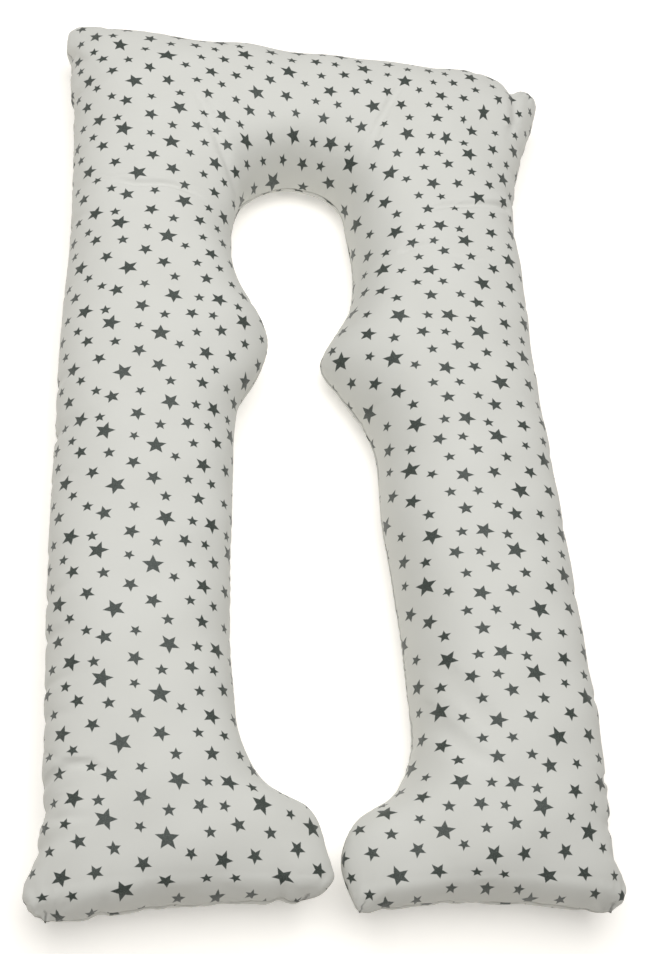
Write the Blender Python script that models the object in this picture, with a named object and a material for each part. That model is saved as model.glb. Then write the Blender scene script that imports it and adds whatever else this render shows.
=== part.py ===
"""U-shaped body pillow: two cloth panels sewn together round their edge and filled.

The pillow lies flat on its back panel, z = 0, with +Y towards its head end and +X to
the right when it is seen from its feet. All sizes are metres.

The outline is a ribbon that runs up the left leg, over the head end and down the right
leg. Each row of SECTIONS is one cut across that ribbon: where the seam lies on its outer
edge and on its inner edge. Over this plan the cloth stands like a film blown up evenly
and held at the seam, so wide places are thick, and corners and edges draw in.
"""

import bpy
import numpy as np

# Driving dimensions
SEAM_HEIGHT = 0.080        # the seam's height above the surface the pillow lies on
TOP_FULLNESS = 0.98        # crown over the seam, as a share of the film's square root
BACK_FULLNESS = 0.96       # the same under the seam, before the floor flattens it
THICKEST = 0.122           # the filling's most, over or under the seam
CLOTH_COLOUR = (0.80, 0.79, 0.76, 1.0)

# Mesh
STATIONS = 150             # cuts along the ribbon
STEPS_ACROSS = 16          # faces from the outer to the inner seam, on each panel
END_STEPS = 9              # cuts that round off each sole
SOLE_HOLLOW = 0.011        # how far each sole draws in between its two corners
SOLE_REACH = 0.060         # how far up the leg that hollow fades out

# name, outer seam x y, inner seam x y
SECTIONS = (
    ("left sole", -0.432, -0.844, -0.069, -0.806),
    ("left heel", -0.456, -0.815, -0.041, -0.786),
    ("left toes", -0.451, -0.749, -0.043, -0.735),
    ("left instep", -0.447, -0.685, -0.053, -0.671),
    ("left ankle", -0.448, -0.636, -0.118, -0.640),
    ("left shin low", -0.449, -0.577, -0.157, -0.586),
    ("left shin", -0.451, -0.499, -0.169, -0.501),
    ("left knee", -0.455, -0.318, -0.171, -0.305),
    ("left thigh", -0.455, -0.154, -0.164, -0.136),
    ("left hip", -0.453, -0.055, -0.159, -0.039),
    ("left waist", -0.453, 0.010, -0.148, 0.026),
    ("left rest low", -0.453, 0.067, -0.115, 0.083),
    ("left rest", -0.452, 0.122, -0.097, 0.147),
    ("left rest high", -0.450, 0.184, -0.117, 0.208),
    ("left neck", -0.446, 0.264, -0.150, 0.274),
    ("left cheek", -0.442, 0.374, -0.157, 0.359),
    ("left arm", -0.442, 0.487, -0.149, 0.419),
    ("left shoulder", -0.446, 0.614, -0.133, 0.467),
    ("left corner side", -0.456, 0.749, -0.111, 0.496),
    ("left corner", -0.456, 0.839, -0.091, 0.514),
    ("left corner top", -0.404, 0.844, -0.071, 0.525),
    ("bar left", -0.281, 0.825, -0.052, 0.532),
    ("bar", -0.133, 0.823, -0.032, 0.535),
    ("bar middle", 0.007, 0.817, -0.010, 0.532),
    ("bar right", 0.148, 0.818, 0.012, 0.522),
    ("bar end", 0.274, 0.819, 0.035, 0.507),
    ("right corner top", 0.373, 0.820, 0.052, 0.487),
    ("right corner notch", 0.414, 0.793, 0.061, 0.466),
    ("right ear", 0.458, 0.801, 0.062, 0.440),
    ("right ear side", 0.455, 0.729, 0.065, 0.409),
    ("right shoulder", 0.423, 0.642, 0.066, 0.374),
    ("right arm", 0.395, 0.553, 0.066, 0.340),
    ("right cheek", 0.379, 0.465, 0.062, 0.300),
    ("right neck", 0.380, 0.377, 0.053, 0.251),
    ("right rest high", 0.380, 0.279, 0.029, 0.198),
    ("right rest", 0.379, 0.191, 0.001, 0.132),
    ("right rest low", 0.380, 0.125, 0.017, 0.082),
    ("right waist", 0.382, 0.062, 0.049, 0.033),
    ("right hip", 0.385, -0.009, 0.066, -0.032),
    ("right thigh", 0.389, -0.129, 0.081, -0.148),
    ("right knee", 0.396, -0.278, 0.093, -0.293),
    ("right shin", 0.401, -0.452, 0.101, -0.467),
    ("right shin low", 0.404, -0.548, 0.097, -0.575),
    ("right ankle", 0.403, -0.612, 0.072, -0.639),
    ("right instep", 0.401, -0.675, 0.010, -0.683),
    ("right toes", 0.401, -0.741, -0.019, -0.740),
    ("right heel", 0.406, -0.800, -0.013, -0.802),
    ("right sole", 0.381, -0.823, 0.015, -0.822),
)

# name, from x y, to x y, width, depth: soft troughs pressed into the top panel
CREASES = (
    ("left arm", -0.394, 0.418, -0.202, 0.406, 0.018, 0.010),
    ("right arm", 0.153, 0.418, 0.355, 0.449, 0.018, 0.009),
    ("bar", 0.175, 0.733, 0.079, 0.509, 0.022, 0.007),
    ("left foot", -0.440, -0.627, -0.347, -0.641, 0.018, 0.007),
    ("right shin", 0.106, -0.457, 0.210, -0.578, 0.028, 0.006),
    ("right foot", 0.085, -0.544, 0.273, -0.711, 0.030, 0.007),
)


def smooth_rows(rows):
    """Cuts through the rows on one cubic curve, closer together at both soles.

    Also gives each cut's distance to the nearer sole, along the ribbon's middle.
    """
    middle = 0.5 * (rows[:, :2] + rows[:, 2:])
    knots = np.append(0.0, np.cumsum(np.linalg.norm(np.diff(middle, axis=0), axis=1)))
    slopes = np.gradient(rows, knots, axis=0)
    ramp = np.linspace(0.0, 1.0, STATIONS + 1)
    ease = END_STEPS / STATIONS
    places = knots[-1] * (ramp - ease * np.sin(2.0 * np.pi * ramp) / (2.0 * np.pi))
    low = np.clip(np.searchsorted(knots, places, side="right") - 1, 0, len(knots) - 2)
    span = (knots[low + 1] - knots[low])[:, None]
    t = (places[:, None] - knots[low][:, None]) / span
    cuts = ((1.0 + 2.0 * t) * (1.0 - t) ** 2 * rows[low] + t * (1.0 - t) ** 2 * span * slopes[low]
            + t ** 2 * (3.0 - 2.0 * t) * rows[low + 1] + t ** 2 * (t - 1.0) * span * slopes[low + 1])
    return cuts, np.minimum(places, knots[-1] - places)


def plan_points():
    """Plan of the panel: a grid of x, y, along the ribbon and from its outer to inner seam."""
    cuts, from_sole = smooth_rows(np.array([row[1:] for row in SECTIONS]))
    share = 0.5 - 0.5 * np.cos(np.linspace(0.0, np.pi, STEPS_ACROSS + 1))
    plan = cuts[:, None, :2] * (1.0 - share[:, None]) + cuts[:, None, 2:] * share[:, None]
    hollow = SOLE_HOLLOW * np.exp(-((from_sole / SOLE_REACH) ** 2))
    plan[:, :, 1] += hollow[:, None] * np.sin(np.pi * share)
    corners = plan.reshape(-1, 2)
    return plan - 0.5 * (corners.min(axis=0) + corners.max(axis=0))


def film_rise(plan):
    """Square root of a film's height over the plan: the film is pushed evenly, held at the seam.

    One linear triangle carries each half of a grid cell; the height solves the film's
    equilibrium, stiffness x height = load, at the points inside the seam.
    """
    index = np.arange(plan.shape[0] * plan.shape[1]).reshape(plan.shape[:2])
    a, b = index[:-1, :-1].ravel(), index[1:, :-1].ravel()
    c, d = index[1:, 1:].ravel(), index[:-1, 1:].ravel()
    triangles = np.concatenate((np.stack((a, b, c), axis=1), np.stack((a, c, d), axis=1)))
    corner = plan.reshape(-1, 2)[triangles]
    facing = np.roll(corner, -1, axis=1) - np.roll(corner, 1, axis=1)
    area = 0.5 * np.abs(facing[:, 0, 0] * facing[:, 1, 1] - facing[:, 0, 1] * facing[:, 1, 0])
    stiffness = np.zeros((index.size, index.size))
    pairs = np.einsum("tik,tjk->tij", facing, facing) / (4.0 * area[:, None, None])
    np.add.at(stiffness, (triangles[:, :, None], triangles[:, None, :]), pairs)
    load = np.zeros(index.size)
    np.add.at(load, triangles, (area / 3.0)[:, None])
    inside = index[1:-1, 1:-1].ravel()
    height = np.zeros(index.size)
    height[inside] = np.linalg.solve(stiffness[np.ix_(inside, inside)], load[inside])
    return np.sqrt(np.maximum(height, 0.0)).reshape(plan.shape[:2])


def limited(rise):
    """Rise that follows its value while small and levels off towards THICKEST."""
    return THICKEST * np.tanh((rise / THICKEST) ** 2) ** 0.5


def crease_depth(plan):
    """Depth of the creases: a bell across each one, fading out at its two ends."""
    depth = np.zeros(plan.shape[:2])
    for _, from_x, from_y, to_x, to_y, width, deepest in CREASES:
        start = np.array((from_x, from_y))
        run = np.array((to_x, to_y)) - start
        along = ((plan - start) @ run) / (run @ run)
        nearest = start + np.clip(along, 0.0, 1.0)[:, :, None] * run
        away = np.linalg.norm(plan - nearest, axis=2)
        ends = np.sin(np.pi * np.clip(along, 0.0, 1.0)) ** 0.5
        depth += deepest * ends * np.exp(-((away / width) ** 2))
    return depth


def panel_points():
    """Top and back panel as two grids of x, y, z that share their rim, the seam."""
    plan = plan_points()
    rise = film_rise(plan)
    top = limited(TOP_FULLNESS * rise)
    back = limited(BACK_FULLNESS * rise)
    top -= crease_depth(plan) * np.minimum(top / SEAM_HEIGHT, 1.0)
    top_z = SEAM_HEIGHT + top
    back_z = np.maximum(SEAM_HEIGHT - back, 0.0)
    return np.dstack((plan, top_z)), np.dstack((plan, back_z))


def pillow_mesh():
    """One closed skin: the top panel's grid, and the back panel's without its rim."""
    top, back = panel_points()
    shape = top.shape[:2]
    top_index = np.arange(top[:, :, 0].size).reshape(shape)
    back_index = top_index.copy()
    inner = (shape[0] - 2) * (shape[1] - 2)
    back_index[1:-1, 1:-1] = top_index.size + np.arange(inner).reshape(shape[0] - 2, shape[1] - 2)
    points = np.concatenate((top.reshape(-1, 3), back[1:-1, 1:-1].reshape(-1, 3)))

    def quads(index):
        return np.stack((index[:-1, :-1], index[:-1, 1:], index[1:, 1:], index[1:, :-1]), axis=2)

    top_faces = quads(top_index).reshape(-1, 4)
    back_faces = quads(back_index).reshape(-1, 4)[:, ::-1]
    mesh = bpy.data.meshes.new("pillow")
    mesh.from_pydata(points.tolist(), [], np.concatenate((top_faces, back_faces)).tolist())
    mesh.shade_smooth()
    return mesh


def cloth_material():
    """Matt off-white cotton."""
    material = bpy.data.materials.new("printed_cotton")
    material.use_nodes = True
    finish = material.node_tree.nodes["Principled BSDF"]
    finish.inputs["Base Color"].default_value = CLOTH_COLOUR
    finish.inputs["Roughness"].default_value = 0.9
    finish.inputs["Metallic"].default_value = 0.0
    return material


def build():
    for old in list(bpy.data.objects):
        bpy.data.objects.remove(old)
    pillow = bpy.data.objects.new("pillow", pillow_mesh())
    pillow.data.materials.append(cloth_material())
    bpy.context.scene.collection.objects.link(pillow)


build()
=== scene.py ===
"""Looks of the U-shaped body pillow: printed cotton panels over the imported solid."""

import math

import bpy
import numpy as np
from mathutils import Matrix


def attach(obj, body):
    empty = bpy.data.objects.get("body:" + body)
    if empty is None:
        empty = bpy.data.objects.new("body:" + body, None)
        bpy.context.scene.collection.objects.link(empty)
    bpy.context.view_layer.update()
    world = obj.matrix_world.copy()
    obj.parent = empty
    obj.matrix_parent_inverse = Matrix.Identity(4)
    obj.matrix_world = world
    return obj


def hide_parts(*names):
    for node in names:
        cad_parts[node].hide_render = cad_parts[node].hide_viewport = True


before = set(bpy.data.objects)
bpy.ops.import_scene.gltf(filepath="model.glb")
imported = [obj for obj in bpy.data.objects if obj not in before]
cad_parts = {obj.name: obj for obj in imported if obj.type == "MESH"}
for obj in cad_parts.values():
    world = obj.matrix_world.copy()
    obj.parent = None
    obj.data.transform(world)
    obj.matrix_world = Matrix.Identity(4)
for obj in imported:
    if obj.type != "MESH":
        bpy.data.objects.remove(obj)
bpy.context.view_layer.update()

# ---------------------------------------------------------------- sizes, in metres

SEAM_HEIGHT = 0.080        # the seam's height above the surface the pillow lies on
TOP_FULLNESS = 0.98        # crown over the seam, as a share of the film's square root
BACK_FULLNESS = 0.96       # the same under the seam
THICKEST = 0.122           # the filling's most, over or under the seam
MIDDLE = (0.0027, 0.0005)  # the pillow's middle among the places that SECTIONS gives
SOLE_HOLLOW = (0.008, 0.015)      # how far the left and the right sole draw in at their middle
SOLE_REACH = 0.060         # how far up the leg that hollow fades out
END_SHARE = 0.06           # how much closer the cuts stand at the soles

CUT_CROWN = 0.78           # crown that the flat cut is worked out for, as a share of the crown
CUT_ROUNDS = 40            # rounds of fitting the flat cut
COARSE = (150, 16)         # cells of the grid that the crown and the cut are worked out on
FILLED = (640, 32)         # cells of each panel as it is filled
FINE = (1280, 64)          # cells of the cloth's own grid, along and across each panel

PRESSURE = 4.0             # of the filling, in the cloth's own simulation
SETTLE_FRAMES = 20
CUT_FULL = 0.10            # how much fuller the cloth is cut beside the seam than the seam itself
FULL_FROM_SEAM = 0.030     # where that is most, in from the seam
FULL_REACH = 0.024         # how far it reaches to both sides
MOST_MOVED = 0.022         # cap on how far the simulation may move a point
CALM_BAR = 0.85            # how much less the cloth over the head hole puckers
CALM_REACH = 0.06          # share of the way to both sides of its middle where that fades out
PUCKER_REACH = 0.055       # how far in from the seam the puckers fade out
KEPT_SHAPE = 7             # cells over which its slow movement is taken out again
GATHER_SPACING = 0.021     # between the fine gathers beside the seam
GATHER_DEPTH = 0.0014
GATHER_REACH = 0.022
GATHER_DRIFT = ((0.9, 17.0), (0.5, 41.0))    # how their spacing drifts: share of a gather, turns
SEAM_SUNK = 0.0016         # how deep the seam lies in the cloth
SEAM_SIDE = 0.004          # how far in from the seam that fades out
SEAM_PARTS = (10.0, 20.0)  # added to places along the seam on its inner side and on the soles
SEAM_DROP = 0.038          # how much lower the inner seam lies where the top panel rolls over it
DROP_RUN = (0.35, 0.44, 0.93, 0.97)      # share of the way: where that begins, is full, and ends
DROP_FLAT = 0.60           # how much flatter the back panel is beside the lowered seam
LUMPS = 0.0013             # height of each of the two waves of the filling's slow lumps
LUMP_WAVES = ((43.0, 17.0, 0.0), (-29.0, 51.0, 1.3))      # radians per metre across and up, start
LUMPS_FROM_SEAM = 0.05     # how far in from the seam they reach their height
LEG_CROWN = 0.108          # crown over the seam on the middle of a leg
FOLD_RISE = 0.02           # height over the seam from which a fold is full
FOLD_SHOULDER = (0.35, 2.5)       # a fold's low shoulders: height and width as shares of its own
PUCKER_START = 0.01        # how far outside the seam a pucker starts
EAR_SPREAD = 0.6           # how far a corner's small folds spread, as a share of their reach
BLUNT_SPREAD = 2.2         # how far a corner's rounding spreads, in times its own depth
WEIGHT_STEPS = 20          # even steps of a vertex group's weight
BASE_BELOW = 1e-6          # a point lower than this lies on the floor and stays there
PLAIN_BELOW = 0.001        # a point lower than this has no folds

PRINT_ACROSS = (0.206, 0.027)     # the print's repeat on the cut, in metres: one way
PRINT_ALONG = (0.001, 0.207)      # and the other; a program searched the photo for both
PRINT_START = (-0.423, -0.328)    # where one repeat's corner lies on the cut
BACK_PRINT = (0.113, 0.071)       # where the back panel's print lies, turned over
HEAD_RUN = (0.33, 0.68)    # share of the way where the print's slip is read by length, line by line
PRINT_SOFTNESS = 0.0005           # half the width of a star's inked edge
WEAVE_PITCH = 0.0008              # between threads

# one repeat's stars, in millimetres and degrees: middle across and up from its corner,
# middle to tip, and the way one tip points; read off the photo's repeat, which a
# program had unrolled under a ruled grid, and made 5 % larger since
STARS = (
    (25, 99, 9.0, 15), (49, 85, 12.6, 31), (91, 95, 9.0, 57), (1, 53, 14.3, 63), (33, 48, 9.2, 19),
    (88, 52, 12.6, 64), (42, 22, 15.8, 0), (85, 12, 8.4, 60), (8, 199, 11.3, 34), (136, 115, 9.6, 19),
    (186, 120, 11.6, 20), (136, 77, 15.3, 52), (176, 78, 9.2, 21), (123, 35, 9.6, 19), (164, 43, 11.4, 63),
    (197, 44, 8.9, 4), (119, 204, 16.1, 18), (51, 190, 9.9, 22), (28, 159, 11.3, 49), (87, 171, 12.0, 56),
    (64, 131, 16.0, 41), (1, 124, 8.9, 42), (148, 186, 8.8, 56), (175, 214, 9.0, 21), (191, 179, 13.7, 70),
    (169, 150, 9.0, 23), (117, 145, 12.8, 63),
)
STAR_FACE = 67.5     # degrees from a tip to the way its edge faces; 72 would be a star of five lines

# name, share of the way along the ribbon, how far the print lies off there across and up in
# millimetres, how far it is turned in degrees, and how far the cloth is stretched across in
# percent: it slips and stretches as it is filled. These numbers were fitted by a program to
# the places of the stars in the photo and then rounded; they weren't chosen by hand.
PRINT_SLIP = (
    ("left foot", 0.02, -37, 6, 3, 6), ("left ankle", 0.08, -26, 6, 1, 7),
    ("left shin", 0.16, -14, 8, 1, 7),
    ("left thigh", 0.24, -27, 7, 1, 6), ("left rest", 0.31, -44, 7, 2, 8), ("left arm", 0.37, -71, 9, 4, 9),
    ("left corner", 0.41, -76, 7, 4, 9), ("bar left", 0.45, -88, 17, 4, 9), ("bar", 0.49, -101, 52, 5, 8),
    ("bar right", 0.53, -117, 71, 4, 10), ("right corner", 0.565, -117, 73, 2, 13),
    ("right shoulder", 0.60, -112, 79, 2, 13), ("right arm", 0.64, -103, 82, 0, 12),
    ("right cheek", 0.68, -105, 71, -1, 13), ("right rest", 0.72, -122, 71, -2, 14),
    ("right thigh", 0.78, -150, 66, -2, 15), ("right knee", 0.84, -168, 69, 0, 13),
    ("right shin", 0.89, -179, 70, 0, 15), ("right ankle", 0.93, -181, 70, 2, 13),
    ("right foot", 0.975, -167, 63, 4, 4),
)

# name, outer seam x y, inner seam x y: points read off the photo and projected onto
# the floor by a program; 27 of the rows have been moved since
SECTIONS = (
    ("left sole", -0.440, -0.846, -0.070, -0.810),
    ("left heel", -0.465, -0.815, -0.036, -0.788),
    ("left toes", -0.456, -0.749, -0.038, -0.738),
    ("left instep", -0.447, -0.685, -0.062, -0.671),
    ("left ankle", -0.448, -0.636, -0.121, -0.642),
    ("left shin low", -0.449, -0.577, -0.157, -0.586),
    ("left shin", -0.451, -0.499, -0.169, -0.501),
    ("left knee", -0.455, -0.318, -0.171, -0.305),
    ("left thigh", -0.455, -0.154, -0.164, -0.136),
    ("left hip", -0.453, -0.055, -0.159, -0.039),
    ("left waist", -0.453, 0.010, -0.148, 0.026),
    ("left rest low", -0.453, 0.067, -0.115, 0.083),
    ("left rest", -0.452, 0.122, -0.097, 0.147),
    ("left rest high", -0.450, 0.184, -0.117, 0.208),
    ("left neck", -0.446, 0.264, -0.150, 0.274),
    ("left cheek", -0.442, 0.374, -0.157, 0.359),
    ("left arm", -0.442, 0.487, -0.149, 0.419),
    ("left shoulder", -0.446, 0.614, -0.133, 0.467),
    ("left corner side", -0.456, 0.749, -0.111, 0.496),
    ("left corner", -0.456, 0.839, -0.091, 0.514),
    ("left corner top", -0.404, 0.844, -0.071, 0.525),
    ("bar left", -0.281, 0.824, -0.052, 0.532),
    ("bar", -0.133, 0.823, -0.032, 0.535),
    ("bar middle", 0.007, 0.817, -0.010, 0.532),
    ("bar right", 0.148, 0.818, 0.012, 0.528),
    ("bar end", 0.274, 0.819, 0.036, 0.514),
    ("right corner top", 0.373, 0.820, 0.053, 0.492),
    ("right corner notch", 0.414, 0.793, 0.061, 0.466),
    ("right ear", 0.459, 0.804, 0.062, 0.440),
    ("right ear side", 0.455, 0.729, 0.067, 0.409),
    ("right shoulder", 0.423, 0.642, 0.070, 0.374),
    ("right arm", 0.395, 0.553, 0.071, 0.340),
    ("right cheek", 0.379, 0.465, 0.069, 0.300),
    ("right neck", 0.380, 0.377, 0.058, 0.251),
    ("right rest high", 0.380, 0.279, 0.029, 0.198),
    ("right rest", 0.379, 0.191, 0.001, 0.132),
    ("right rest low", 0.380, 0.125, 0.030, 0.080),
    ("right waist", 0.382, 0.062, 0.062, 0.033),
    ("right hip", 0.385, -0.009, 0.087, -0.035),
    ("right thigh", 0.389, -0.129, 0.090, -0.148),
    ("right knee", 0.396, -0.278, 0.101, -0.293),
    ("right shin", 0.401, -0.452, 0.110, -0.467),
    ("right shin low", 0.404, -0.548, 0.107, -0.577),
    ("right ankle", 0.403, -0.612, 0.074, -0.640),
    ("right instep", 0.401, -0.675, 0.010, -0.686),
    ("right toes", 0.401, -0.741, -0.018, -0.747),
    ("right heel", 0.409, -0.806, -0.006, -0.804),
    ("right sole", 0.389, -0.831, 0.001, -0.827),
)

# name, from x y, to x y, width, depth at the two ends: folds in the top panel, run by run;
# the ends were picked in the photo and turned into metres by a program
FOLDS = (
    ("left arm", -0.392, 0.410, -0.366, 0.408, 0.007, 0.000, 0.003),
    ("left arm", -0.366, 0.408, -0.342, 0.401, 0.007, 0.003, 0.006),
    ("left arm", -0.342, 0.401, -0.284, 0.404, 0.007, 0.006, 0.006),
    ("left arm", -0.284, 0.404, -0.252, 0.397, 0.007, 0.006, 0.005),
    ("left arm", -0.252, 0.397, -0.218, 0.385, 0.007, 0.005, 0.000),
    ("left arm high", -0.405, 0.424, -0.360, 0.429, 0.007, 0.001, 0.002),
    ("right arm", 0.186, 0.400, 0.218, 0.411, 0.007, 0.001, 0.006),
    ("right arm", 0.218, 0.411, 0.256, 0.417, 0.007, 0.006, 0.007),
    ("right arm", 0.256, 0.417, 0.297, 0.427, 0.007, 0.007, 0.007),
    ("right arm", 0.297, 0.427, 0.345, 0.446, 0.008, 0.007, 0.010),
    ("right arm low", 0.135, 0.312, 0.191, 0.323, 0.006, 0.004, 0.003),
    ("right arm lower", 0.208, 0.302, 0.249, 0.290, 0.006, 0.002, 0.004),
    ("right arm lower", 0.249, 0.290, 0.290, 0.305, 0.006, 0.004, 0.000),
    ("bar", 0.166, 0.718, 0.134, 0.655, 0.009, 0.000, 0.005),
    ("bar", 0.134, 0.655, 0.102, 0.584, 0.009, 0.005, 0.005),
    ("bar", 0.102, 0.584, 0.078, 0.514, 0.010, 0.005, 0.001),
    ("bar left", -0.243, 0.635, -0.216, 0.583, 0.010, 0.000, 0.006),
    ("bar left", -0.216, 0.583, -0.187, 0.504, 0.012, 0.006, 0.008),
    ("bar left", -0.187, 0.504, -0.150, 0.440, 0.012, 0.008, 0.004),
    ("right ear", 0.402, 0.800, 0.389, 0.670, 0.013, 0.012, 0.008),
    ("right ear", 0.389, 0.670, 0.360, 0.603, 0.010, 0.008, 0.000),
    ("left foot", -0.450, -0.648, -0.419, -0.630, 0.009, 0.003, 0.006),
    ("left foot", -0.419, -0.630, -0.396, -0.633, 0.009, 0.006, 0.005),
    ("left foot", -0.396, -0.633, -0.367, -0.648, 0.009, 0.005, 0.000),
    ("left toes", -0.430, -0.705, -0.373, -0.709, 0.008, 0.004, 0.000),
    ("right shin", 0.133, -0.452, 0.163, -0.506, 0.018, 0.001, 0.004),
    ("right shin", 0.163, -0.506, 0.196, -0.561, 0.018, 0.004, 0.004),
    ("right foot", 0.111, -0.503, 0.133, -0.558, 0.016, 0.001, 0.004),
    ("right foot", 0.133, -0.558, 0.166, -0.607, 0.016, 0.004, 0.005),
    ("right foot", 0.166, -0.607, 0.229, -0.655, 0.016, 0.005, 0.001),
)

# side, x y on the seam, the way it runs in from there in degrees, its length, width, depth:
# puckers that start at the seam, in both panels; a program read 26 of the 45 places off the
# photo's outline, and the rest was chosen one by one
PUCKERS = (
    ("left", -0.454, 0.727, -5, 0.060, 0.011, 0.006), ("left", -0.448, 0.652, 8, 0.070, 0.012, 0.007),
    ("left", -0.444, 0.504, 5, 0.045, 0.009, 0.004), ("left", -0.446, 0.360, -10, 0.050, 0.010, 0.005),
    ("left", -0.451, 0.217, 5, 0.040, 0.009, 0.003), ("left", -0.454, 0.030, -6, 0.050, 0.011, 0.005),
    ("left", -0.450, -0.067, 4, 0.060, 0.013, 0.006), ("left", -0.456, -0.155, -8, 0.040, 0.009, 0.003),
    ("left", -0.459, -0.280, 0, 0.040, 0.010, 0.003), ("left", -0.456, -0.356, 10, 0.055, 0.011, 0.005),
    ("left", -0.453, -0.422, -5, 0.045, 0.010, 0.005), ("left", -0.452, -0.500, 8, 0.060, 0.009, 0.005),
    ("left", -0.453, -0.548, -8, 0.050, 0.010, 0.004), ("left", -0.448, -0.643, 12, 0.070, 0.011, 0.003),
    ("left", -0.453, -0.690, -10, 0.050, 0.009, 0.002), ("left", -0.454, -0.741, 15, 0.080, 0.013, 0.005),
    ("right", 0.407, 0.615, 190, 0.060, 0.011, 0.005), ("right", 0.388, 0.542, 175, 0.050, 0.010, 0.004),
    ("right", 0.376, 0.489, 185, 0.070, 0.012, 0.007), ("right", 0.377, 0.411, 170, 0.050, 0.010, 0.004),
    ("right", 0.376, 0.246, 180, 0.040, 0.010, 0.004), ("right", 0.380, 0.110, 174, 0.040, 0.010, 0.003),
    ("right", 0.383, -0.063, 178, 0.040, 0.010, 0.003), ("right", 0.392, -0.200, 184, 0.040, 0.010, 0.003),
    ("right", 0.396, -0.318, 185, 0.040, 0.010, 0.004), ("right", 0.399, -0.503, 175, 0.050, 0.011, 0.005),
    ("right", 0.398, -0.654, 186, 0.050, 0.010, 0.004), ("right", 0.399, -0.705, 175, 0.050, 0.010, 0.004),
    ("right", 0.400, -0.752, 170, 0.050, 0.010, 0.004),
    ("top", -0.388, 0.840, 262, 0.050, 0.010, 0.004), ("top", -0.310, 0.832, 275, 0.050, 0.011, 0.003),
    ("top", -0.150, 0.828, 268, 0.040, 0.010, 0.002), ("top", 0.085, 0.822, 272, 0.050, 0.010, 0.002),
    ("top", 0.240, 0.820, 265, 0.050, 0.010, 0.004), ("top", 0.330, 0.818, 255, 0.060, 0.011, 0.005),
    ("bottom", -0.365, -0.826, 80, 0.060, 0.011, 0.008),
    ("bottom", -0.298, -0.818, 95, 0.050, 0.011, 0.005),
    ("bottom", -0.195, -0.808, 90, 0.040, 0.011, 0.003),
    ("bottom", -0.112, -0.803, 95, 0.060, 0.011, 0.008),
    ("bottom", 0.038, -0.812, 85, 0.050, 0.011, 0.004), ("bottom", 0.132, -0.808, 92, 0.050, 0.011, 0.004),
    ("bottom", 0.255, -0.808, 90, 0.050, 0.013, 0.003), ("bottom", 0.343, -0.815, 98, 0.050, 0.011, 0.004),
    ("inner", -0.120, 0.215, 190, 0.040, 0.009, 0.003), ("inner", 0.060, 0.020, 10, 0.040, 0.009, 0.003),
)

# name, x y of the tip, the way in from it in degrees, how far it is blunted; small folds that
# run out from it: how many in a full turn, where they are deepest, depth
EARS = (
    ("left top", -0.459, 0.838, -45, 0.003, 17, 0.034, 0.0012),
    ("right top", 0.456, 0.800, 225, 0.004, 19, 0.040, 0.0030),
    ("left heel", -0.441, -0.846, 66, 0.011, 17, 0.036, 0.0022),
    ("left toe", -0.072, -0.810, 130, 0.006, 15, 0.032, 0.0014),
    ("right toe", -0.002, -0.827, 50, 0.005, 15, 0.030, 0.0012),
    ("right heel", 0.386, -0.831, 115, 0.008, 17, 0.036, 0.0022),
)


# ---------------------------------------------------------------- shape

def cubic(values, knots, places):
    """Values at the places, on one cubic curve through the knots along axis 0.

    Hermite form: (1 + 2t)(1 - t)^2 a + t(1 - t)^2 h a' + t^2(3 - 2t) b + t^2(t - 1) h b'.
    """
    slopes = np.gradient(values, knots, axis=0)
    low = np.clip(np.searchsorted(knots, places, side="right") - 1, 0, len(knots) - 2)
    column = (-1,) + (1,) * (values.ndim - 1)
    span = (knots[low + 1] - knots[low]).reshape(column)
    t = (places - knots[low]).reshape(column) / span
    start = (1.0 + 2.0 * t) * (1.0 - t) ** 2 * values[low] + t * (1.0 - t) ** 2 * span * slopes[low]
    return start + t ** 2 * (3.0 - 2.0 * t) * values[low + 1] + t ** 2 * (t - 1.0) * span * slopes[low + 1]


def finer(grid, cells):
    """The grid's values on more cells, cubic along the ribbon and then across it."""
    along, across = (np.linspace(0.0, 1.0, n) for n in grid.shape[:2])
    grid = cubic(grid, along, np.linspace(0.0, 1.0, cells[0] + 1))
    grid = cubic(np.swapaxes(grid, 0, 1), across, np.linspace(0.0, 1.0, cells[1] + 1))
    return np.swapaxes(grid, 0, 1)


def plan_points(cells):
    """Plan of a panel, x and y over the grid: straight cuts from the outer to the inner seam.

    Cuts stand closer at the soles: place = ramp - END_SHARE sin(2 pi ramp) / 2 pi. Points
    stand closer at the seams: share = (1 - cos(pi v)) / 2. The soles draw in by a sine.
    """
    rows = np.array([row[1:] for row in SECTIONS])
    middle = 0.5 * (rows[:, :2] + rows[:, 2:])
    knots = np.append(0.0, np.cumsum(np.linalg.norm(np.diff(middle, axis=0), axis=1)))
    ramp = np.linspace(0.0, 1.0, cells[0] + 1)
    places = knots[-1] * (ramp - END_SHARE * np.sin(2.0 * np.pi * ramp) / (2.0 * np.pi))
    cuts = cubic(rows, knots, places)
    share = 0.5 - 0.5 * np.cos(np.linspace(0.0, np.pi, cells[1] + 1))
    plan = cuts[:, None, :2] * (1.0 - share[:, None]) + cuts[:, None, 2:] * share[:, None]
    left, right = SOLE_HOLLOW
    hollow = left * np.exp(-((places / SOLE_REACH) ** 2))
    hollow += right * np.exp(-(((knots[-1] - places) / SOLE_REACH) ** 2))
    plan[:, :, 1] += hollow[:, None] * np.sin(np.pi * share)
    return plan - MIDDLE


def grid_triangles(shape):
    """Point numbers of a grid of this many points each way, and two triangles in each cell."""
    index = np.arange(shape[0] * shape[1]).reshape(shape)
    a, b = index[:-1, :-1].ravel(), index[1:, :-1].ravel()
    c, d = index[1:, 1:].ravel(), index[:-1, 1:].ravel()
    return index, np.concatenate((np.stack((a, b, c), axis=1), np.stack((a, c, d), axis=1)))


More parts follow.
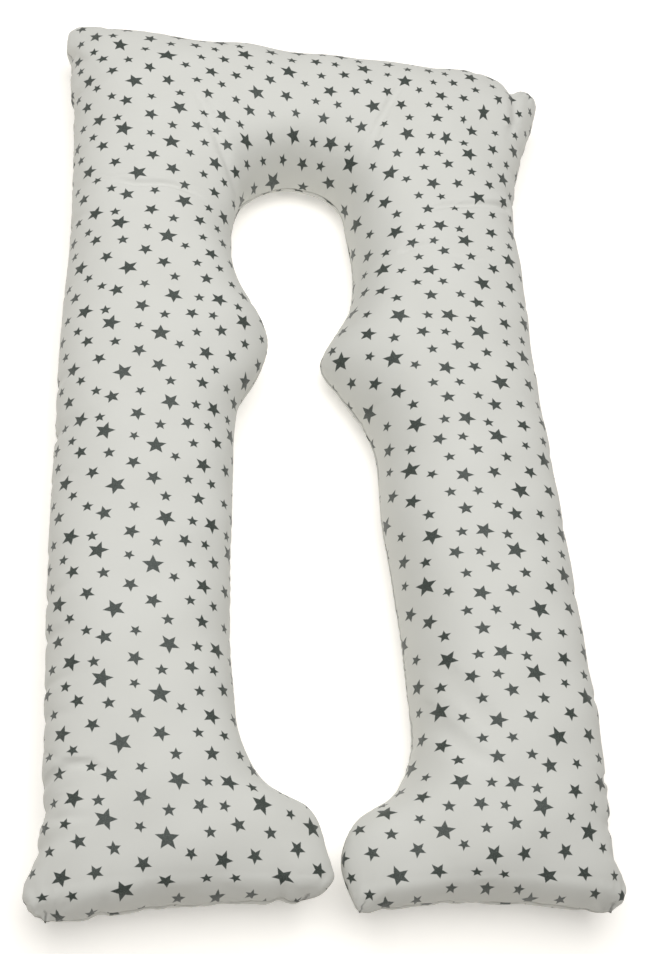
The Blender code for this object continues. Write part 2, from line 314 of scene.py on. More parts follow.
def film_rise(plan):
    """Square root of a film's height over the plan: the film is pushed evenly, held at the seam.

    One linear triangle carries each half of a grid cell; the height solves the film's
    equilibrium, stiffness x height = load, at the points inside the seam.
    """
    index, triangles = grid_triangles(plan.shape[:2])
    corner = plan.reshape(-1, 2)[triangles]
    facing = np.roll(corner, -1, axis=1) - np.roll(corner, 1, axis=1)
    area = 0.5 * np.abs(facing[:, 0, 0] * facing[:, 1, 1] - facing[:, 0, 1] * facing[:, 1, 0])
    stiffness = np.zeros((index.size, index.size))
    pairs = np.einsum("tik,tjk->tij", facing, facing) / (4.0 * area[:, None, None])
    np.add.at(stiffness, (triangles[:, :, None], triangles[:, None, :]), pairs)
    load = np.zeros(index.size)
    np.add.at(load, triangles, (area / 3.0)[:, None])
    inside = index[1:-1, 1:-1].ravel()
    height = np.zeros(index.size)
    height[inside] = np.linalg.solve(stiffness[np.ix_(inside, inside)], load[inside])
    return np.sqrt(np.maximum(height, 0.0)).reshape(plan.shape[:2])


def limited(rise):
    """Rise that follows its value while small and levels off towards THICKEST."""
    return THICKEST * np.tanh((rise / THICKEST) ** 2) ** 0.5


def panel_heights(rise):
    """Heights of the top and the back panel: from the seam, up and down by the film's rise.

    The inner seam of the bar and of the right leg lies lower. The top panel rolls over it with
    its crown as high as elsewhere, and the back panel is flatter there.
    """
    share = 0.5 - 0.5 * np.cos(np.linspace(0.0, np.pi, rise.shape[1]))
    way = np.linspace(0.0, 1.0, rise.shape[0])
    lowered = np.interp(way, DROP_RUN, (0.0, 1.0, 1.0, 0.0))
    lowered = (lowered * lowered * (3.0 - 2.0 * lowered))[:, None] * share ** 2
    crown = limited(TOP_FULLNESS * rise)
    drop = SEAM_DROP * lowered
    top = SEAM_HEIGHT - drop + crown * (1.0 + drop / LEG_CROWN)
    return top, SEAM_HEIGHT - drop - limited(BACK_FULLNESS * (1.0 - DROP_FLAT * lowered) * rise)


def grid_faces(index):
    """Quads over a grid of point numbers, turned so that they face up."""
    return np.stack((index[:-1, :-1], index[:-1, 1:], index[1:, 1:], index[1:, :-1]), axis=2).reshape(-1, 4)


def unrolled(points):
    """First guess at the flat cut: straight cuts laid out from the line along the ribbon's middle."""
    plan = points[:, :, :2]
    half = points.shape[1] // 2
    out = plan[:, 0] - plan[:, -1]
    out /= np.linalg.norm(out, axis=1)[:, None]
    steps = np.linalg.norm(np.diff(points, axis=1), axis=2)
    over = np.pad(np.cumsum(steps, axis=1), ((0, 0), (1, 0)))
    over = over[:, half, None] - over
    flat = plan[:, half, None] + over[:, :, None] * out[:, None]
    column = points[:, half]
    run = np.linalg.norm(np.diff(column, axis=0), axis=1)
    gain = run - np.linalg.norm(np.diff(column[:, :2], axis=0), axis=1)
    gain = np.append(0.0, np.cumsum(gain))
    flat[:, :, 1] -= np.abs(gain - gain[len(gain) // 2])[:, None]
    return flat


def cut_points(points):
    """Where each point of a panel lies on its flat cut, in metres: the print's own frame.

    As rigid as possible: each triangle keeps its shape and only turns. By turns, every
    triangle takes the rotation that fits it best, and all corners are then solved for
    together: stiffness x corners = sum of cotangent x rotation x edge.
    """
    index, triangles = grid_triangles(points.shape[:2])
    corner = points.reshape(-1, 3)[triangles]
    edge = np.roll(corner, -1, axis=1) - corner
    length = np.linalg.norm(edge, axis=2)
    first = edge[:, 0] / length[:, :1]
    side = np.einsum("ti,ti->t", edge[:, 1], first)
    rise = np.linalg.norm(np.cross(first, edge[:, 1]), axis=1)
    flat_edge = np.zeros((len(triangles), 3, 2))
    flat_edge[:, 0, 0] = length[:, 0]
    flat_edge[:, 1] = np.stack((side, -rise), axis=1)
    flat_edge[:, 2] = -flat_edge[:, 0] - flat_edge[:, 1]
    opposite = np.stack((np.roll(edge, -1, axis=1), -np.roll(edge, 1, axis=1)), axis=2)
    cosine = np.einsum("tei,tei->te", opposite[:, :, 0], opposite[:, :, 1])
    cotangent = -cosine / np.linalg.norm(np.cross(opposite[:, :, 0], opposite[:, :, 1]), axis=2)
    ahead = np.roll(triangles, -1, axis=1)
    stiffness = np.zeros((index.size, index.size))
    np.add.at(stiffness, (triangles, triangles), cotangent)
    np.add.at(stiffness, (ahead, ahead), cotangent)
    np.add.at(stiffness, (triangles, ahead), -cotangent)
    np.add.at(stiffness, (ahead, triangles), -cotangent)
    stiffness[0, 0] += 1.0
    solver = np.linalg.inv(stiffness)
    flat = unrolled(points).reshape(-1, 2)
    held = flat[0].copy()
    for _ in range(CUT_ROUNDS):
        now = flat[ahead] - flat[triangles]
        turn = np.einsum("te,tei,tej->tij", cotangent, now, flat_edge)
        angle = np.arctan2(turn[:, 1, 0] - turn[:, 0, 1], turn[:, 0, 0] + turn[:, 1, 1])[:, None]
        turned = np.stack((np.cos(angle) * flat_edge[:, :, 0] - np.sin(angle) * flat_edge[:, :, 1],
                           np.sin(angle) * flat_edge[:, :, 0] + np.cos(angle) * flat_edge[:, :, 1]), axis=2)
        pull = np.zeros_like(flat)
        np.add.at(pull, ahead, cotangent[:, :, None] * turned)
        np.add.at(pull, triangles, -cotangent[:, :, None] * turned)
        pull[0] += held
        flat = solver @ pull
    return flat.reshape(*points.shape[:2], 2)


def slip_places(flat):
    """Share of the way at which each point of the cut reads the print's slip.

    Round the head hole each line along the ribbon is read by its own length, so that the slip
    changes as evenly beside the hole as it does on the ribbon's middle.
    """
    share = np.linspace(0.0, 1.0, flat.shape[0])
    way = np.pad(np.cumsum(np.linalg.norm(np.diff(flat, axis=0), axis=2), axis=0), ((1, 0), (0, 0)))
    first, last = np.searchsorted(share, HEAD_RUN)
    part = (way[first:last + 1] - way[first]) / (way[last] - way[first])
    middle = part[:, flat.shape[1] // 2]
    places = np.repeat(share[:, None], flat.shape[1], axis=1)
    for column in range(flat.shape[1]):
        places[first:last + 1, column] = np.interp(part[:, column], middle, share[first:last + 1])
    return places


def slipped(flat):
    """The cut as the print lies on it: each cut across stretched, turned about its middle, moved."""
    slip = np.array([row[1:] for row in PRINT_SLIP], dtype=float)
    places = np.clip(slip_places(flat), slip[0, 0], slip[-1, 0])
    moved = cubic(slip[:, 1:], slip[:, 0], places.ravel()).reshape(*places.shape, 4)
    turn = np.radians(moved[:, :, 2])
    middle = flat[:, flat.shape[1] // 2, None]
    away = (flat - middle) * (1.0 - moved[:, :, 3:] / 100.0)
    turned = np.stack((np.cos(turn) * away[:, :, 0] - np.sin(turn) * away[:, :, 1],
                       np.sin(turn) * away[:, :, 0] + np.cos(turn) * away[:, :, 1]), axis=2)
    return middle + turned + moved[:, :, :2] / 1000.0


def valley(plan, start, end, width, depths):
    """Depth of one valley: a bell across it with low shoulders, its depth run from end to end.

    depth (exp(-(r/w)^2) - h exp(-(r/vw)^2)), with r the distance to the line between the
    ends, w its width, and h and v the FOLD_SHOULDER.
    """
    low, wide = FOLD_SHOULDER
    run = end - start
    along = np.clip(((plan - start) @ run) / (run @ run), 0.0, 1.0)
    away = np.linalg.norm(plan - start - along[:, None] * run, axis=1) / width
    depth = depths[0] + (depths[1] - depths[0]) * along
    return depth * (np.exp(-away ** 2) - low * np.exp(-(away / wide) ** 2))


def gathered(along, inward):
    """Depth of the fine gathers beside the seam: ridges of (1 + cos)^2 / 4, fading inwards.

    Their spacing drifts by sines of the place along the seam, and so does their strength,
    0.55 + 0.45 sin, a tenth to the whole of GATHER_DEPTH.
    """
    drift = sum(share * np.sin(along * turns) for share, turns in GATHER_DRIFT)
    phase = 2.0 * np.pi * (along / GATHER_SPACING + drift)
    strength = 0.55 + 0.45 * np.sin(along * 9.0 + 1.0)
    ridge = (0.5 + 0.5 * np.cos(phase)) ** 2
    return GATHER_DEPTH * strength * ridge * np.exp(-((inward / GATHER_REACH) ** 2))


def lumpy(plan):
    """The filling's slow lumps, -2 to 2: two sine waves that cross over the plan."""
    x, y = plan[:, 0], plan[:, 1]
    return sum(np.sin(across * x + up * y + start) for across, up, start in LUMP_WAVES)


def relief(places, along, inward):
    """How far each point of the cloth moves out along its normal, for folds, puckers and seam.

    Each run of a fold takes over where it is deeper than the others, so runs that meet
    don't add up. A corner's small folds are (1 + cos)^2 / 4 of the turn about its tip. The
    cloth gathers finely beside the seam, which lies a little sunk.
    """
    plan = places[:, :2]
    on_top = np.clip((places[:, 2] - SEAM_HEIGHT) / FOLD_RISE, 0.0, 1.0)
    folds, puckers, ears = (np.zeros(len(places)) for _ in range(3))
    for _, from_x, from_y, to_x, to_y, width, *depths in FOLDS:
        cut = valley(plan, np.array((from_x, from_y)), np.array((to_x, to_y)), width, depths)
        folds = np.where(np.abs(cut) > np.abs(folds), cut, folds)
    for _, x, y, way, length, width, depth in PUCKERS:
        start, way = np.array((x, y)), math.radians(way)
        ahead = np.array((math.cos(way), math.sin(way)))
        puckers += valley(plan, start - PUCKER_START * ahead, start + length * ahead, width, (depth, 0.0))
    for _, x, y, way, _, count, reach, depth in EARS:
        away = plan - (x, y)
        distance = np.linalg.norm(away, axis=1)
        turn = np.arctan2(away[:, 1], away[:, 0]) - math.radians(way)
        wave = 0.5 + 0.5 * np.cos(count * turn)
        ears += depth * wave ** 2 * np.exp(-((distance - reach) / (EAR_SPREAD * reach)) ** 2)
    sunk = SEAM_SUNK * np.exp(-((inward / SEAM_SIDE) ** 2))
    lumps = LUMPS * lumpy(plan) * np.minimum(inward / LUMPS_FROM_SEAM, 1.0)
    return lumps - on_top * folds - puckers - ears - gathered(along, inward) - sunk


def blunted(grid):
    """The panel with its corners rounded: each tip is drawn in along the way given for it."""
    grid = grid.copy()
    for _, x, y, way, blunt, *_ in EARS:
        way = math.radians(way)
        away = np.hypot(grid[:, :, 0] - x, grid[:, :, 1] - y)
        near = np.exp(-((away / (BLUNT_SPREAD * blunt)) ** 2))
        grid[:, :, 0] += blunt * math.cos(way) * near
        grid[:, :, 1] += blunt * math.sin(way) * near
    return grid


def seam_map(points):
    """Each point's place by the seam, in metres: how far along it, and how far in from it.

    The inner side and the soles count on from SEAM_PARTS, so no two places are the same.
    """
    inner_side, soles = SEAM_PARTS
    steps = np.linalg.norm(np.diff(points, axis=1), axis=2)
    over = np.pad(np.cumsum(steps, axis=1), ((0, 0), (1, 0)))
    down = np.linalg.norm(np.diff(points, axis=0), axis=2)
    up = np.pad(np.cumsum(down, axis=0), ((1, 0), (0, 0)))
    from_side = np.minimum(over, over[:, -1:] - over)
    from_sole = np.minimum(up, up[-1:] - up)
    beside = np.where(over > 0.5 * over[:, -1:], up[:, -1:] + inner_side, up[:, :1])
    along = np.where(from_sole < from_side, over + soles, beside)
    return np.dstack((along, np.minimum(from_side, from_sole)))


def on_skin(seam, numbers, count):
    """The seam map for every point of a skin; where its panels meet, the last grid holds."""
    along, inward = np.empty(count), np.empty(count)
    for grid in numbers:
        along[grid.ravel()] = seam[:, :, 0].ravel()
        inward[grid.ravel()] = seam[:, :, 1].ravel()
    return along, inward


def case_piece(name, top, back):
    """A closed skin from the two panels' grids, and where their points are in it."""
    index = np.arange(top[:, :, 0].size).reshape(top.shape[:2])
    under = index.copy()
    inner = (index.shape[0] - 2, index.shape[1] - 2)
    under[1:-1, 1:-1] = index.size + np.arange(inner[0] * inner[1]).reshape(inner)
    points = np.concatenate((top.reshape(-1, 3), back[1:-1, 1:-1].reshape(-1, 3)))
    faces = np.concatenate((grid_faces(index), grid_faces(under)[:, ::-1]))
    mesh = bpy.data.meshes.new(name)
    mesh.from_pydata(points.tolist(), [], faces.tolist())
    mesh.shade_smooth()
    piece = bpy.data.objects.new(name, mesh)
    bpy.context.scene.collection.objects.link(piece)
    return piece, index, under


def all_of(mesh, what):
    """A property of every vertex of the mesh, such as its place or its normal."""
    values = np.empty(3 * len(mesh.vertices))
    mesh.vertices.foreach_get(what, values)
    return values.reshape(-1, 3)


def weighted_group(piece, name, weights):
    """Vertex group with a few even steps of weight, one call for each step."""
    group = piece.vertex_groups.new(name=name)
    for step in range(1, WEIGHT_STEPS + 1):
        chosen = np.flatnonzero(np.round(weights * WEIGHT_STEPS) == step)
        if len(chosen):
            group.add(chosen.tolist(), step / WEIGHT_STEPS, "REPLACE")


def slow_part(grid, cells):
    """The grid's values averaged over their neighbours, again and again: its slow changes only."""
    for axis, rounds in ((0, cells * cells), (1, 3)):
        for _ in range(rounds):
            low = np.take(grid, [0], axis=axis)
            high = np.take(grid, [-1], axis=axis)
            wide = np.concatenate((low, grid, high), axis=axis)
            size = grid.shape[axis]
            before, after = (np.take(wide, range(k, k + size), axis=axis) for k in (0, 2))
            grid = 0.25 * before + 0.5 * grid + 0.25 * after
    return grid


def filled(top, back):
    """Fill the case: pressure inside, the cloth beside the seam cut fuller than the seam.

    The cut is fuller by an uneven share: 0.62, and sines of the place along the seam up to
    0.38 more or less. It gathers into puckers. Only those are kept: the slow part of
    the movement is taken out again, so the pillow keeps the plan and the crown it has.
    """
    piece, index, under = case_piece("filling_case", top, back)
    start = all_of(piece.data, "co")
    seam = seam_map(top)
    along, inward = on_skin(seam, (under, index), len(start))
    uneven = 0.62 + 0.38 * np.sin(along * 21.0 + 2.0 * np.sin(along * 7.3)) * np.sin(along * 4.1)
    weighted_group(piece, "base", (start[:, 2] < BASE_BELOW).astype(float))
    weighted_group(piece, "cut_full", uneven * np.exp(-((inward - FULL_FROM_SEAM) / FULL_REACH) ** 2))
    cloth = piece.modifiers.new("cloth", "CLOTH")
    cloth.settings.quality = 5
    cloth.settings.mass = 0.2
    cloth.settings.tension_stiffness = 30.0
    cloth.settings.compression_stiffness = 30.0
    cloth.settings.shear_stiffness = 10.0
    cloth.settings.bending_stiffness = 0.02
    cloth.settings.use_pressure = True
    cloth.settings.uniform_pressure_force = PRESSURE
    cloth.settings.vertex_group_mass = "base"
    cloth.settings.vertex_group_shrink = "cut_full"
    cloth.settings.shrink_min = 0.0
    cloth.settings.shrink_max = -CUT_FULL
    cloth.settings.effector_weights.gravity = 0.0
    cloth.collision_settings.use_collision = False
    cloth.collision_settings.use_self_collision = False
    cloth.point_cache.frame_start = 1
    cloth.point_cache.frame_end = SETTLE_FRAMES
    scene = bpy.context.scene
    for frame_number in range(1, SETTLE_FRAMES + 1):
        scene.frame_set(frame_number)
    settled = piece.evaluated_get(bpy.context.evaluated_depsgraph_get())
    moved = all_of(settled.data, "co") - start
    mesh = piece.data
    bpy.data.objects.remove(piece)
    bpy.data.meshes.remove(mesh)
    scene.frame_set(1)
    result = []
    for panel, numbers in ((top, index), (back, under)):
        grid = moved[numbers]
        grid -= slow_part(grid, KEPT_SHAPE)
        length = np.linalg.norm(grid, axis=2)
        share = np.linspace(0.0, 1.0, grid.shape[0])
        kept = (1.0 - CALM_BAR * np.exp(-(((share - 0.5) / CALM_REACH) ** 2)))[:, None]
        kept = kept * np.exp(-((seam[:, :, 1] / PUCKER_REACH) ** 2))
        kept *= np.minimum(1.0, MOST_MOVED / np.maximum(length, 1e-9))
        result.append(panel + kept[:, :, None] * grid)
    top, back = result
    shared = 0.5 * (top + back)
    inside = np.zeros(top.shape[:2], dtype=bool)
    inside[1:-1, 1:-1] = True
    return (np.where(inside[:, :, None], panel, shared) for panel in (top, back))


def pillow_piece():
    """The two panels as one closed skin, with the cut and the seam's place as UV maps."""
    plan = plan_points(COARSE)
    rise = film_rise(plan)
    top, back = panel_heights(rise)
    top, back = np.dstack((plan, top)), np.dstack((plan, back))
    slack = top * (1.0, 1.0, CUT_CROWN)
    cut = slipped(finer(cut_points(slack[::2]), FINE))
    top, back = finer(top, FILLED), finer(back, FILLED)
    back[:, :, 2] = np.maximum(back[:, :, 2], 0.0)
    top, back = filled(top, back)
    top, back = blunted(finer(top, FINE)), blunted(finer(back, FINE))
    back[:, :, 2] = np.maximum(back[:, :, 2], 0.0)
    seam = seam_map(top)
    piece, index, under = case_piece("pillow_cloth", top, back)
    for name, front, behind in (("cut", cut, cut * (-1.0, 1.0) + BACK_PRINT), ("seam", seam, seam)):
        layer = piece.data.uv_layers.new(name=name)
        front, behind = front.reshape(-1, 2), behind.reshape(-1, 2)
        corners = np.concatenate((front[grid_faces(index)], behind[grid_faces(index)[:, ::-1]]))
        layer.data.foreach_set("uv", corners.ravel())
    places, normals = all_of(piece.data, "co"), all_of(piece.data, "normal")
    along, inward = on_skin(seam, (under, index), len(places))
    lifted = np.where(places[:, 2] > PLAIN_BELOW, relief(places, along, inward), 0.0)
    places += lifted[:, None] * normals
    places[:, 2] = np.maximum(places[:, 2], 0.0)
    piece.data.vertices.foreach_set("co", places.ravel())
    piece.data.update()
    return piece


# ---------------------------------------------------------------- materials

COTTON = ((0.596, 0.599, 0.564, 1.0), (0.636, 0.641, 0.610, 1.0))     # cloudy between the two
INK = ((0.022, 0.032, 0.026, 1.0), (0.058, 0.072, 0.062, 1.0))        # full, and thin
SEAM_PAINTED_SHADE = (0.74, 0.73, 0.71, 1.0)      # painted shade in the seam's narrow groove, as a share of the cloth
ROUGHNESS = (0.88, 0.55)                  # of bare cotton and of ink
GLEAM = (0.25, 0.60)                      # the same for the specular level
MIX_FACTOR, MIX_FIRST, MIX_SECOND, MIX_COLOUR = 0, 6, 7, 2    # a colour Mix node's sockets
SUNK_EDGE = 0.004                         # how far in from the seam the cloth rises
GATHER_FADE = (0.002, 0.030)              # where the small gathers are full, and end
GATHER_STRETCH = (95.0, 14.0, 0.0)        # how finely they run along the seam and in from it
SEAM_LINE = (0.0006, 0.0020)              # where the groove's shade is full, and ends


def new_group(name, inputs, outputs):
    """An empty shader node group with its named sockets, and its two end nodes."""
    tree = bpy.data.node_groups.new(name, "ShaderNodeTree")
    for title, kind, way in [(*row, "INPUT") for row in inputs] + [(*row, "OUTPUT") for row in outputs]:
        tree.interface.new_socket(title, in_out=way, socket_type="NodeSocket" + kind)
    return tree, tree.nodes.new("NodeGroupInput").outputs, tree.nodes.new("NodeGroupOutput").inputs


def feed(tree, node, values):
    """Give a node's inputs their links or plain values, by order or by name."""
    pairs = values.items() if isinstance(values, dict) else enumerate(values)
    for key, value in pairs:
        if isinstance(value, bpy.types.NodeSocket):
            tree.links.new(value, node.inputs[key])
        else:
            node.inputs[key].default_value = value
    return node


def sums(tree, operation, *values):
    """Result of one Math node with these inputs."""
    node = tree.nodes.new("ShaderNodeMath")
    node.operation = operation
    return feed(tree, node, values).outputs[0]


def vectors(tree, operation, *values):
    """Result of one Vector Math node with these inputs."""
    node = tree.nodes.new("ShaderNodeVectorMath")
    node.operation = operation
    feed(tree, node, values)
    return node.outputs["Value" if operation in ("DOT_PRODUCT", "LENGTH") else "Vector"]


def placed(tree, kind, values, **settings):
    """A new node of this kind, with its settings and inputs."""
    node = tree.nodes.new(kind)
    for name, value in settings.items():
        setattr(node, name, value)
    return feed(tree, node, values)


def mixed(tree, factor, first, second, **settings):
    """Colour of one Mix node, from the first colour to the second by the factor."""
    values = {MIX_FACTOR: factor, MIX_FIRST: first, MIX_SECOND: second}
    return placed(tree, "ShaderNodeMix", values, data_type="RGBA", **settings).outputs[MIX_COLOUR]


def eased(tree, value, start, end, at_start, at_end):
    """The value carried smoothly from its range, start to end, to another one."""
    node = placed(tree, "ShaderNodeMapRange", (value, start, end, at_start, at_end),
                  interpolation_type="SMOOTHSTEP")
    return node.outputs["Result"]


def one_star_group():
    """How far a place in the repeat lies outside one five-pointed star, in metres.

    The place is folded into one tenth of the star, 0 to 36 degrees from a tip; there the
    edge is the straight line  r cos(angle - face) = tip cos face.
    """
    tree, given, result = new_group(
        "one_star", (("Place", "Vector"), ("Middle", "Vector"), ("Tip", "Float"), ("Turn", "Float")),
        (("Outside", "Float"),))
    away = vectors(tree, "SUBTRACT", given["Place"], given["Middle"])
    away = vectors(tree, "WRAP", away, (0.5,) * 3, (-0.5,) * 3)
    across = vectors(tree, "DOT_PRODUCT", away, (PRINT_ACROSS[0], PRINT_ALONG[0], 0.0))
    up = vectors(tree, "DOT_PRODUCT", away, (PRINT_ACROSS[1], PRINT_ALONG[1], 0.0))
    squares = sums(tree, "ADD", sums(tree, "POWER", across, 2.0), sums(tree, "POWER", up, 2.0))
    distance = sums(tree, "SQRT", squares)
    angle = sums(tree, "SUBTRACT", sums(tree, "ARCTAN2", up, across), given["Turn"])
    face = math.radians(STAR_FACE)
    folded = sums(tree, "SUBTRACT", sums(tree, "PINGPONG", angle, math.radians(36.0)), face)
    edge = sums(tree, "MULTIPLY", given["Tip"], math.cos(face))
    reach = sums(tree, "MULTIPLY", distance, sums(tree, "COSINE", folded))
    tree.links.new(sums(tree, "SUBTRACT", reach, edge), result["Outside"])
    return tree


def star_print_group():
    """Mask of the charted stars, repeated over the cut: 1 in the ink, 0 on bare cotton."""
    tree, given, result = new_group(
        "star_print", (("Cut", "Vector"), ("Softness", "Float")), (("Ink", "Float"),))
    (ax, ay), (bx, by) = PRINT_ACROSS, PRINT_ALONG
    whole = ax * by - ay * bx
    from_start = vectors(tree, "SUBTRACT", given["Cut"], (*PRINT_START, 0.0))
    first = vectors(tree, "DOT_PRODUCT", from_start, (by / whole, -bx / whole, 0.0))
    second = vectors(tree, "DOT_PRODUCT", from_start, (-ay / whole, ax / whole, 0.0))
    place = placed(tree, "ShaderNodeCombineXYZ", (first, second)).outputs[0]
    star = one_star_group()
    nearest = 1.0
    for across, up, tip, turn in STARS:
        x, y = across / 1000.0, up / 1000.0
        middle = ((x * by - y * bx) / whole, (y * ax - x * ay) / whole, 0.0)
        node = placed(tree, "ShaderNodeGroup", {}, node_tree=star)
        feed(tree, node, {"Place": place, "Middle": middle,
                          "Tip": tip / 1000.0, "Turn": math.radians(turn)})
        nearest = sums(tree, "MINIMUM", nearest, node.outputs["Outside"])
    inside = sums(tree, "MULTIPLY", given["Softness"], -1.0)
    tree.links.new(eased(tree, nearest, inside, given["Softness"], 1.0, 0.0), result["Ink"])
    return tree


def weave_group():
    """Height of a plain weave, 0 to 1: threads cross over and under each other at the pitch."""
    tree, given, result = new_group(
        "plain_weave", (("Cut", "Vector"), ("Pitch", "Float")), (("Height", "Float"),))
    turns = vectors(tree, "SCALE", given["Cut"])
    tree.links.new(sums(tree, "DIVIDE", math.pi, given["Pitch"]), turns.node.inputs["Scale"])
    parts = placed(tree, "ShaderNodeSeparateXYZ", (turns,)).outputs
    crossed = sums(tree, "MULTIPLY", sums(tree, "SINE", parts["X"]), sums(tree, "SINE", parts["Y"]))
    tree.links.new(sums(tree, "ABSOLUTE", crossed), result["Height"])
    return tree


def seam_group():
    """Height by the sewn edge, in metres: the edge sinks in, and small gathers run in from it.

    Line is 1 in the seam's own narrow groove, whose shade is painted into the cloth's colour.
    """
    tree, given, result = new_group(
        "sewn_edge", (("Seam", "Vector"), ("Depth", "Float"), ("Gathers", "Float")),
        (("Height", "Float"), ("Line", "Float")))
    inward = placed(tree, "ShaderNodeSeparateXYZ", (given["Seam"],)).outputs["Y"]
    sunk = eased(tree, inward, 0.0, SUNK_EDGE, 0.0, 1.0)
    fade = eased(tree, inward, *GATHER_FADE, 1.0, 0.0)
    stretched = vectors(tree, "MULTIPLY", given["Seam"], GATHER_STRETCH)
    ripple = placed(tree, "ShaderNodeTexNoise", {"Vector": stretched, "Scale": 1.0, "Detail": 2.0})
    level = sums(tree, "SUBTRACT", ripple.outputs[0], 0.5)
    gathers = sums(tree, "MULTIPLY", sums(tree, "MULTIPLY", level, fade), given["Gathers"])
    edge = sums(tree, "MULTIPLY", sunk, given["Depth"])
    tree.links.new(sums(tree, "ADD", edge, gathers), result["Height"])
    tree.links.new(eased(tree, inward, *SEAM_LINE, 1.0, 0.0), result["Line"])
    return tree


def printed_cotton():
    """Plain white cotton with slate stars; the ink thins a little where threads dip."""
    material = bpy.data.materials.new("printed_cotton")
    material.use_nodes = True
    tree = material.node_tree
    finish = tree.nodes["Principled BSDF"]
    cut = placed(tree, "ShaderNodeUVMap", {}, uv_map="cut").outputs["UV"]
    by_seam = placed(tree, "ShaderNodeUVMap", {}, uv_map="seam").outputs["UV"]
    place = tree.nodes.new("ShaderNodeTexCoord").outputs["Object"]

    bleed = placed(tree, "ShaderNodeTexNoise", {"Vector": place, "Scale": 700.0, "Detail": 1.0})
    shift = vectors(tree, "SUBTRACT", bleed.outputs[1], (0.5,) * 3)
    shift = vectors(tree, "MULTIPLY", shift, (0.0008,) * 3)
    stars = placed(tree, "ShaderNodeGroup", {}, node_tree=star_print_group())
    feed(tree, stars, {"Cut": vectors(tree, "ADD", cut, shift), "Softness": PRINT_SOFTNESS})
    weave = placed(tree, "ShaderNodeGroup", {}, node_tree=weave_group())
    feed(tree, weave, {"Cut": cut, "Pitch": WEAVE_PITCH})
    sewn = placed(tree, "ShaderNodeGroup", {}, node_tree=seam_group())
    feed(tree, sewn, {"Seam": by_seam, "Depth": 0.0012, "Gathers": 0.0030})

    cloudy = placed(tree, "ShaderNodeTexNoise", {"Vector": place, "Scale": 9.0, "Detail": 3.0})
    speckle = placed(tree, "ShaderNodeTexNoise", {"Vector": place, "Scale": 620.0, "Detail": 2.0})
    inked = stars.outputs["Ink"]
    cotton = mixed(tree, cloudy.outputs[0], *COTTON)
    ink = mixed(tree, eased(tree, speckle.outputs[0], 0.42, 0.68, 0.0, 1.0), *INK)
    colour = mixed(tree, inked, cotton, ink)
    # painted shade: the cloth is darkened in the seam's narrow groove
    colour = mixed(tree, sewn.outputs["Line"], colour, SEAM_PAINTED_SHADE, blend_type="MULTIPLY")

    threads = placed(tree, "ShaderNodeBump",
                     {"Strength": 0.35, "Distance": 0.0002, "Height": weave.outputs["Height"]})
    edge = placed(tree, "ShaderNodeBump",
                  {"Strength": 1.0, "Distance": 1.0, "Height": sewn.outputs["Height"],
                   "Normal": threads.outputs["Normal"]})
    rough, gleam = (placed(tree, "ShaderNodeMapRange", (inked, 0.0, 1.0, *ends)).outputs["Result"]
                    for ends in (ROUGHNESS, GLEAM))
    feed(tree, finish, {"Base Color": colour, "Normal": edge.outputs["Normal"], "Roughness": rough,
                        "Specular IOR Level": gleam, "Sheen Weight": 0.12, "Sheen Roughness": 0.5})
    return material


# ---------------------------------------------------------------- stage

# the photo's own camera, fitted by a program to the print's repeat and rounded
CAMERA_PLACE = (-0.498, -1.329, 2.19)    # metres, over the floor before the left foot
CAMERA_TURN = 21.72                      # degrees, how far it faces to the right
CAMERA_TILT = 31.9                       # degrees from straight down
CAMERA_ROLL = 21.9                       # degrees, so that the pillow stands upright in view
CAMERA_LENS = 56.60                      # millimetres
CAMERA_FRAME = 36.0                      # millimetres, the frame's longer side
FLOOR_HALF = 6.0
FLOOR_COLOUR = (0.93, 0.90, 0.85, 1.0)
FLOOR_GLOW = 0.28                        # a little light of its own, as on a light table
ROOM_COLOUR = (1.0, 0.93, 0.82, 1.0)
ROOM_LIGHT = 0.12
LAMP_PLACE = (-0.35, 0.45, 3.6)          # one large soft lamp that faces straight down
LAMP_SIZE = 4.6
LAMP_POWER = 193.0                       # watts


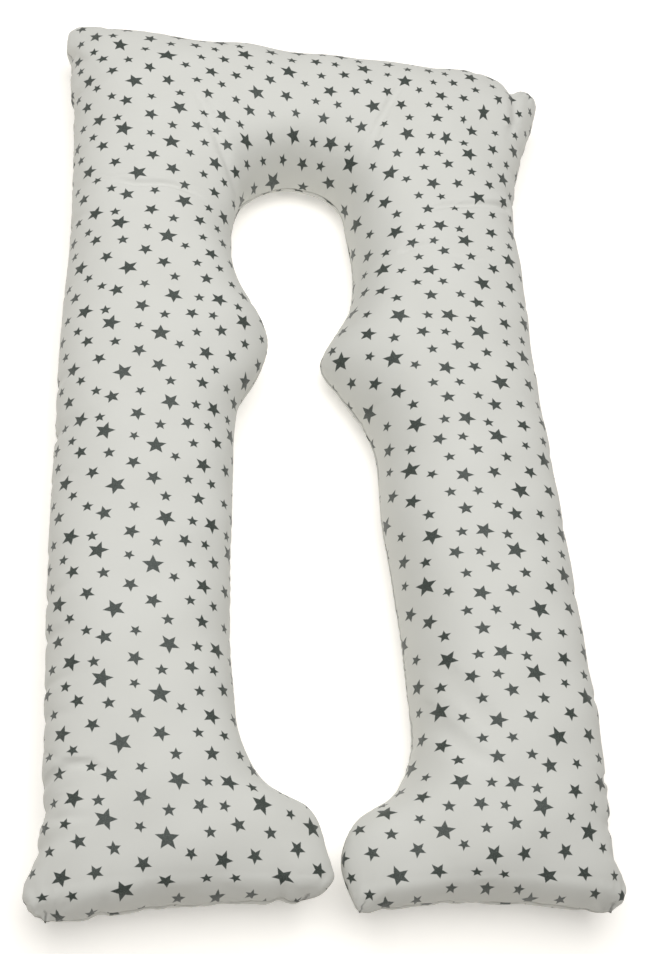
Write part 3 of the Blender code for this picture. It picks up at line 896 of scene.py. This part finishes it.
def add_camera():
    """The photo's own view: turned to the right, tilted up from straight down, then rolled."""
    camera = bpy.data.cameras.new("camera")
    camera.lens = CAMERA_LENS
    camera.sensor_width = CAMERA_FRAME
    camera.sensor_fit = "AUTO"
    holder = bpy.data.objects.new("camera", camera)
    holder.location = CAMERA_PLACE
    turned = (Matrix.Rotation(math.radians(-CAMERA_TURN), 3, "Z")
              @ Matrix.Rotation(math.radians(CAMERA_TILT), 3, "X")
              @ Matrix.Rotation(math.radians(CAMERA_ROLL), 3, "Z"))
    holder.rotation_euler = turned.to_euler()
    bpy.context.scene.collection.objects.link(holder)
    bpy.context.scene.camera = holder


def add_floor():
    """A plain pale floor at the height that the pillow lies on."""
    half = FLOOR_HALF
    mesh = bpy.data.meshes.new("floor")
    corners = [(-half, -half, 0), (half, -half, 0), (half, half, 0), (-half, half, 0)]
    mesh.from_pydata(corners, [], [(0, 1, 2, 3)])
    material = bpy.data.materials.new("floor")
    material.use_nodes = True
    finish = material.node_tree.nodes["Principled BSDF"]
    finish.inputs["Base Color"].default_value = FLOOR_COLOUR
    finish.inputs["Roughness"].default_value = 0.8
    finish.inputs["Emission Color"].default_value = (1.0, 1.0, 1.0, 1.0)
    finish.inputs["Emission Strength"].default_value = FLOOR_GLOW
    mesh.materials.append(material)
    floor = bpy.data.objects.new("floor", mesh)
    bpy.context.scene.collection.objects.link(floor)


def add_lights():
    """A dim warm room and one large lamp overhead."""
    world = bpy.data.worlds.new("studio")
    world.use_nodes = True
    room = world.node_tree.nodes["Background"]
    room.inputs["Color"].default_value = ROOM_COLOUR
    room.inputs["Strength"].default_value = ROOM_LIGHT
    bpy.context.scene.world = world
    light = bpy.data.lights.new("overhead", "AREA")
    light.size = LAMP_SIZE
    light.energy = LAMP_POWER
    lamp = bpy.data.objects.new("overhead", light)
    lamp.location = LAMP_PLACE
    bpy.context.scene.collection.objects.link(lamp)


pillow = pillow_piece()
pillow.data.materials.append(printed_cotton())
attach(pillow, "root")
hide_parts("pillow")

add_camera()
add_floor()
add_lights()
bpy.context.scene.view_settings.view_transform = "Standard"
